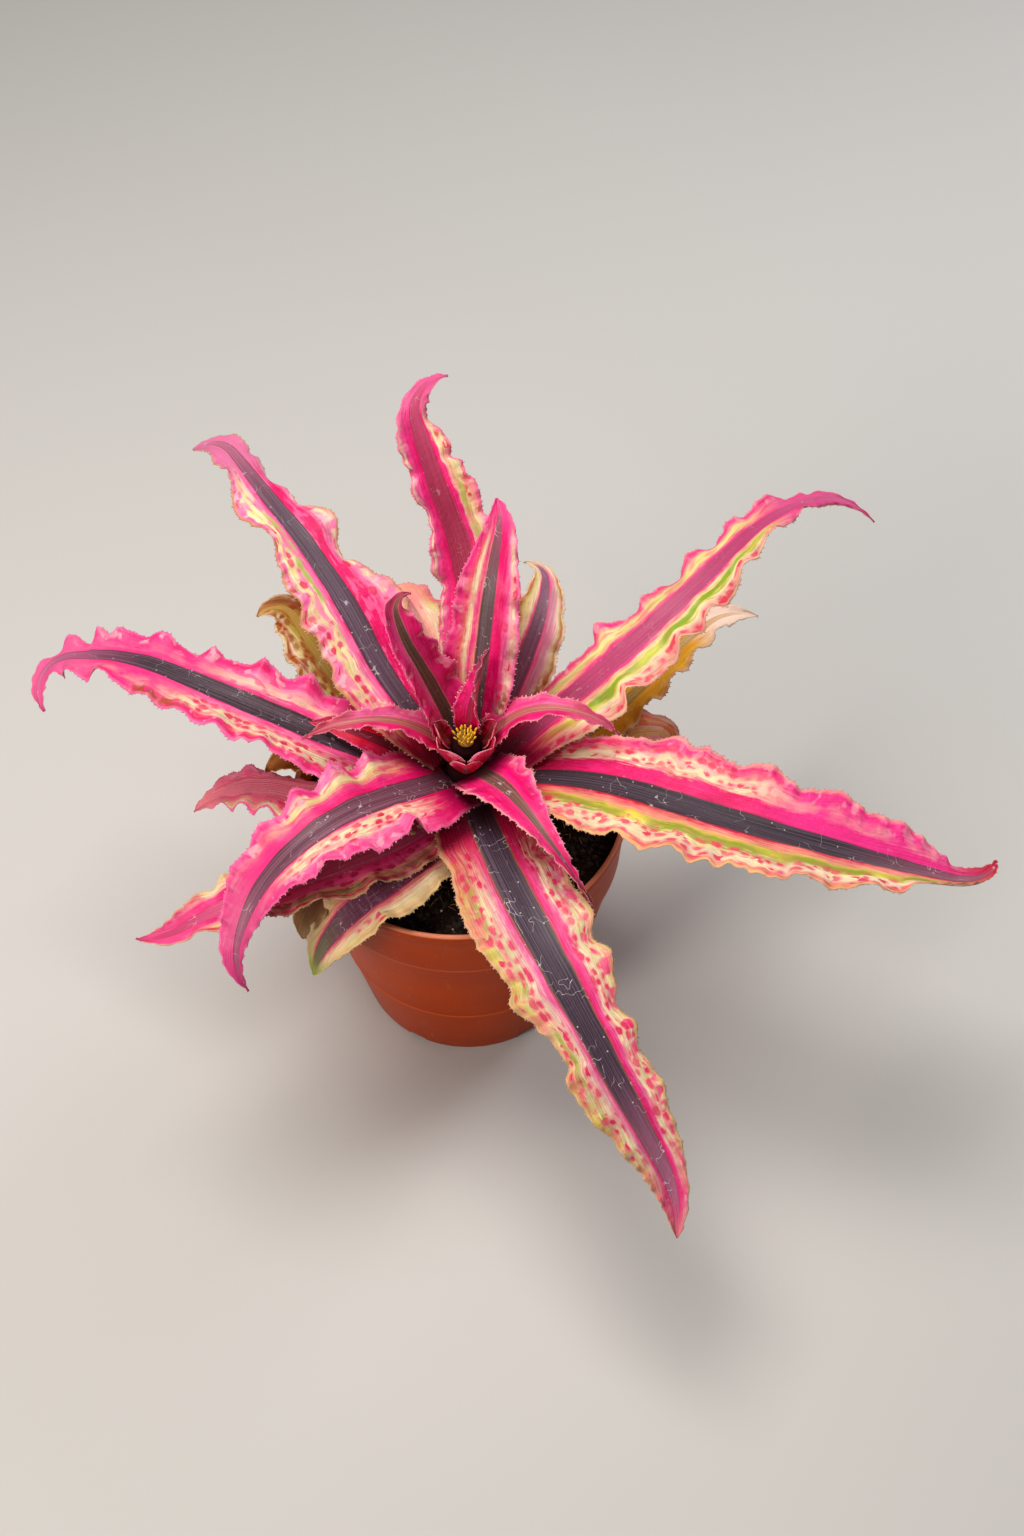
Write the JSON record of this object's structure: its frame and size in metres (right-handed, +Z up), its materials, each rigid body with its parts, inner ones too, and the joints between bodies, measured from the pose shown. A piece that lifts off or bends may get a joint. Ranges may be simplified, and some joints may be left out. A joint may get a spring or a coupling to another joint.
{
  "type": "earth star bromeliad in a nursery pot",
  "caption": "Potted earth star: a low rosette of long waved, toothed and banded pink leaves round a small flower cup, in soil, in a round tapered pot with a lip.",
  "frame": {"origin": "middle of the pot's flat underside, where it stands on a surface", "axes": "+Z up along the pot's axis, -Y towards the front, +X to the right"},
  "size_m": [0.2899, 0.2347, 0.1892],
  "materials": {
    "pot": "satin moulded plastic, terracotta orange",
    "soil": "dark crumbly peat with golden fibres, matte",
    "stem": "short green-brown stem, matte",
    "flower": "yellow stamens, soft",
    "bract": "dark red young leaf, satin",
    "leaf_young": "crimson leaf with an olive stripe and pale teeth, satin",
    "leaf_pink": "pink leaf with a dark stripe and cream, spotted margins, satin",
    "leaf_plum": "plum leaf with pale and lime margins, satin",
    "leaf_cream": "cream leaf with a purple stripe, satin",
    "leaf_olive": "ochre and olive older leaf, satin",
    "leaf_withered": "brown dry leaf, matte"
  },
  "bodies": {
    "root": {"pot": "pot", "soil": "soil", "stem": "stem", "flower_tuft": "flower", "bract_1": "bract", "bract_2": "bract", "bract_3": "bract", "bract_4": "bract", "bract_5": "bract", "leaf_heart": "leaf_young", "leaf_east_young": "leaf_young", "leaf_west_young": "leaf_young", "leaf_northwest_young": "leaf_young", "leaf_southeast_young": "leaf_young", "leaf_west_folded": "leaf_young", "leaf_west": "leaf_pink", "leaf_northwest": "leaf_pink", "leaf_east": "leaf_pink", "leaf_south": "leaf_pink", "leaf_southwest": "leaf_pink", "leaf_north_inner": "leaf_pink", "leaf_west_low": "leaf_pink", "leaf_north": "leaf_plum", "leaf_northeast": "leaf_plum", "leaf_southwest_under": "leaf_plum", "leaf_north_short": "leaf_cream", "leaf_north_pale": "leaf_cream", "leaf_south_low": "leaf_cream", "leaf_northwest_low": "leaf_olive", "leaf_northeast_low": "leaf_olive", "leaf_east_low": "leaf_olive", "leaf_west_withered": "leaf_withered", "leaf_southwest_withered": "leaf_withered"}
  },
  "joints": []
}
